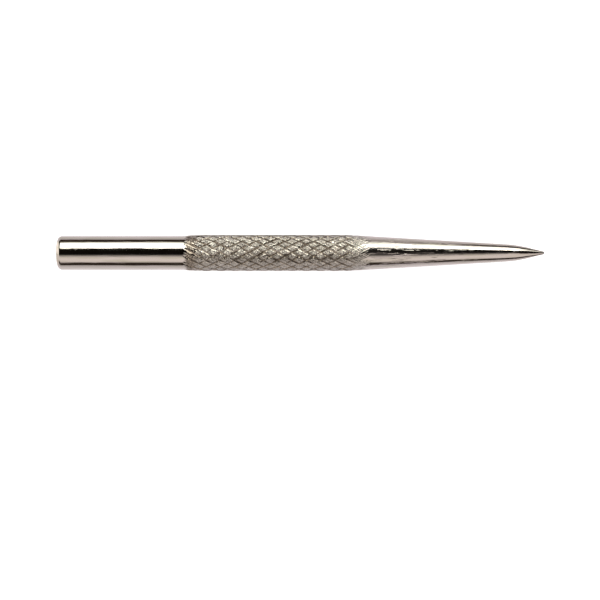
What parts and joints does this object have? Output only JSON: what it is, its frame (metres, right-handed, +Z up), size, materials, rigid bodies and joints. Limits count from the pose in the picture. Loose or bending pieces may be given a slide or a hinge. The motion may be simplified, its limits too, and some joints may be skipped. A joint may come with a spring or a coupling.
{
  "type": "center punch",
  "caption": "Solid round center punch: plain shank with a rounded striking end, a diamond-knurled grip and a long ground taper ending in a fine point.",
  "frame": {"origin": "centre of the flat striking face", "axes": "+X along the bar from the striking face to the point, +Z up when the punch lies flat"},
  "size_m": [0.1, 0.0074, 0.0074],
  "materials": {
    "plated_steel": "bright nickel-plated hardened steel, polished on the shank and taper, duller in the knurl"
  },
  "bodies": {
    "root": {"center_punch": "plated_steel"}
  },
  "joints": []
}
